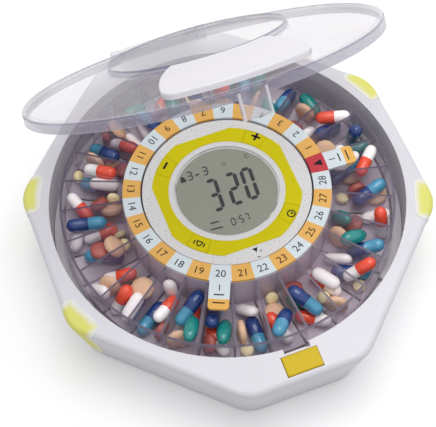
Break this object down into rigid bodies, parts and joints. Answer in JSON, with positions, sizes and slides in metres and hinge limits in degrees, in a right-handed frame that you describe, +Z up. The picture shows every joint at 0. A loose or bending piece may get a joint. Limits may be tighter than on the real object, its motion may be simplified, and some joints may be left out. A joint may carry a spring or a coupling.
{
  "type": "automatic pill dispenser",
  "caption": "Round turning tray of wedge compartments in an eight-sided housing, with a timed display, press keys, a latched clear lid and corner grips.",
  "frame": {"origin": "on the surface that the feet stand on, under the tray's axis", "axes": "+Z up along the tray's axis, +Y to the lid's hinge, -Y to the latch button"},
  "size_m": [0.2056, 0.2244, 0.187],
  "materials": {
    "white_abs": "moulded white plastic, fine satin",
    "grey_abs": "moulded grey plastic, satin",
    "foot_rubber": "moulded rubber",
    "zinc_screw": "zinc-plated steel",
    "pin_steel": "ground steel pin",
    "spring_steel": "spring wire",
    "acetal": "natural acetal, slightly waxy",
    "motor_can": "drawn steel can",
    "black_plastic": "moulded black plastic",
    "tray_mauve": "translucent mauve plastic",
    "printed_ring": "white plastic with printed number sectors",
    "white_dial": "white plastic with a faint print",
    "yellow_band": "yellow printed film",
    "key_yellow": "yellow silicone key with a plain symbol",
    "display_window": "clear hard-coated plastic",
    "display_panel": "grey-green display panel",
    "contact_rubber": "layered conductive rubber",
    "board_green": "green solder mask on glass-fibre board",
    "battery_jacket": "plain wrapped round cell",
    "contact_nickel": "nickel-plated spring strip",
    "speaker_can": "small loudspeaker can",
    "clear_lid": "clear polycarbonate",
    "lid_plate_white": "bare white plate",
    "button_yellow": "golden yellow plastic",
    "grip_rubber": "soft yellow elastomer",
    "pill_coating": "loose tablets and capsules, polished or film-coated"
  },
  "bodies": {
    "housing": {"upper_housing": "white_abs", "bottom_cover": "white_abs", "battery_door": "white_abs", "rubber_feet": "foot_rubber", "case_screws": "zinc_screw", "deck": "grey_abs", "dial_column": "grey_abs", "deck_screws": "zinc_screw", "drive_motor": "motor_can", "motor_screws": "zinc_screw", "index_switch": "black_plastic", "dial_cover": "white_dial", "key_overlay": "yellow_band", "display_window": "display_window", "display_module": "display_panel", "contact_strips": "contact_rubber", "main_board": "board_green", "board_screws": "zinc_screw", "tact_switches": "black_plastic", "batteries": "battery_jacket", "battery_contacts": "contact_nickel", "speaker": "speaker_can", "hinge_pin": "pin_steel", "latch_pin": "pin_steel", "latch_spring": "spring_steel", "grip_front_left": "grip_rubber", "grip_front_right": "grip_rubber", "grip_rear_left": "grip_rubber", "grip_rear_right": "grip_rubber"},
    "carousel": {"turntable_gear": "acetal", "tray_floor": "tray_mauve", "tray_outer_wall": "tray_mauve", "tray_hub": "tray_mauve", "tray_dividers": "tray_mauve", "number_ring": "printed_ring"},
    "pinion": {"drive_pinion": "acetal"},
    "lid": {"lid": "clear_lid", "lid_plate": "lid_plate_white"},
    "latch_button": {"latch_button": "button_yellow"},
    "latch_lever": {"latch_lever": "acetal"},
    "key_plus": {"key_plus": "key_yellow"},
    "key_minus": {"key_minus": "key_yellow"},
    "key_clock": {"key_clock": "key_yellow"},
    "key_alarm": {"key_alarm": "key_yellow"}
  },
  "joints": [
    {"name": "tray_spin", "type": "hinge", "parent": "housing", "child": "carousel", "pos_m": [0, 0, 0.0244], "axis": [0, 0, 1], "continuous": true},
    {"name": "pinion_spin", "type": "hinge", "parent": "housing", "child": "pinion", "pos_m": [0, 0.0588, 0.022], "axis": [0, 0, 1], "continuous": true},
    {"name": "lid_hinge", "type": "hinge", "parent": "housing", "child": "lid", "pos_m": [0, 0.108, 0.046], "axis": [-1, 0, 0], "range_deg": [-43.5, 56.5]},
    {"name": "latch_press", "type": "slide", "parent": "housing", "child": "latch_button", "axis": [0, 0, -1], "range_m": [0, 0.0016], "stiffness_N_per_m": 600, "springref_m": -0.0015},
    {"name": "latch_tip", "type": "hinge", "parent": "housing", "child": "latch_lever", "pos_m": [0, -0.0996, 0.0255], "axis": [1, 0, 0], "range_deg": [0, 15.8], "deforming": ["latch_spring"]},
    {"name": "key_plus_press", "type": "slide", "parent": "housing", "child": "key_plus", "axis": [0, 0, -1], "range_m": [0, 0.0005], "stiffness_N_per_m": 500, "springref_m": -0.0008},
    {"name": "key_minus_press", "type": "slide", "parent": "housing", "child": "key_minus", "axis": [0, 0, -1], "range_m": [0, 0.0005], "stiffness_N_per_m": 500, "springref_m": -0.0008},
    {"name": "key_clock_press", "type": "slide", "parent": "housing", "child": "key_clock", "axis": [0, 0, -1], "range_m": [0, 0.0005], "stiffness_N_per_m": 500, "springref_m": -0.0008},
    {"name": "key_alarm_press", "type": "slide", "parent": "housing", "child": "key_alarm", "axis": [0, 0, -1], "range_m": [0, 0.0005], "stiffness_N_per_m": 500, "springref_m": -0.0008}
  ],
  "couplings": [
    {"joint": "pinion_spin", "follows": "tray_spin", "ratio": -6},
    {"joint": "latch_tip", "follows": "latch_press", "rad_per_m": 172}
  ]
}
